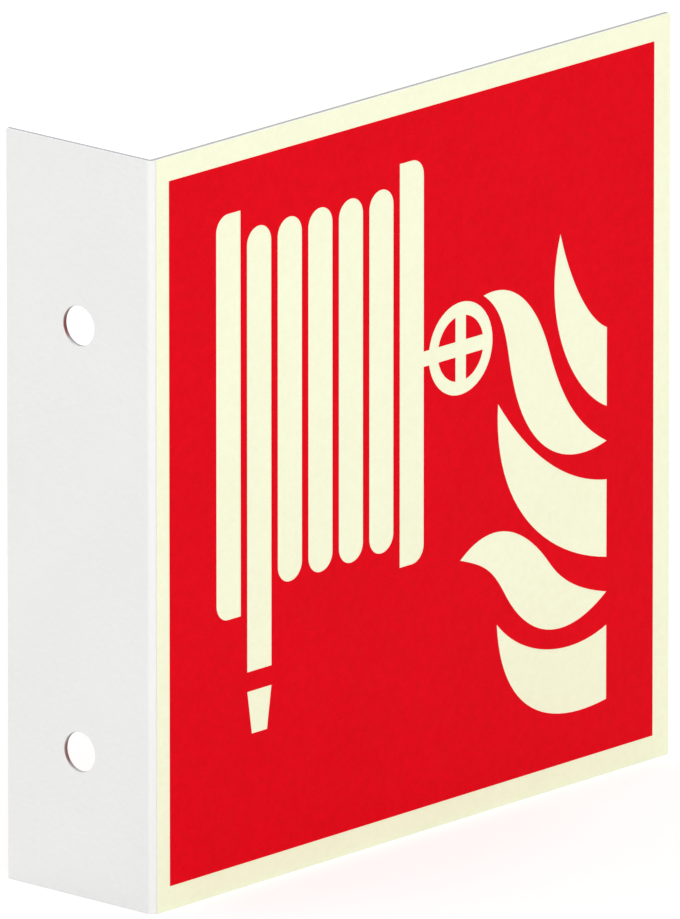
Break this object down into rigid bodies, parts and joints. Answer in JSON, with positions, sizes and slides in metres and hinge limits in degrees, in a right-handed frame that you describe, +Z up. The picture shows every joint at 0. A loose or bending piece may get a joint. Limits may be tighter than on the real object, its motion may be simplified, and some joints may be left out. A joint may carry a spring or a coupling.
{
  "type": "projecting fire hose sign",
  "caption": "Square folded sheet sign that stands out from a wall on a drilled flange, with a hose reel and flames symbol left clear in a red print on cream glow-in-the-dark film.",
  "frame": {"origin": "midway between the two screw holes, on the flange's face that goes against the wall", "axes": "-X out of the flange's wall face into the wall, +X along the flag away from the wall, +Z up, +Y from the fold across the flange to its free edge, so that the front of the flag looks along -Y"},
  "size_m": [0.15, 0.0379, 0.15],
  "materials": {
    "white_sheet": "satin",
    "cream_film": "satin",
    "red_ink": "satin"
  },
  "bodies": {
    "root": {"folded_plate": "white_sheet", "front_film": "cream_film", "rear_film": "cream_film", "front_print": "red_ink", "rear_print": "red_ink"}
  },
  "joints": []
}
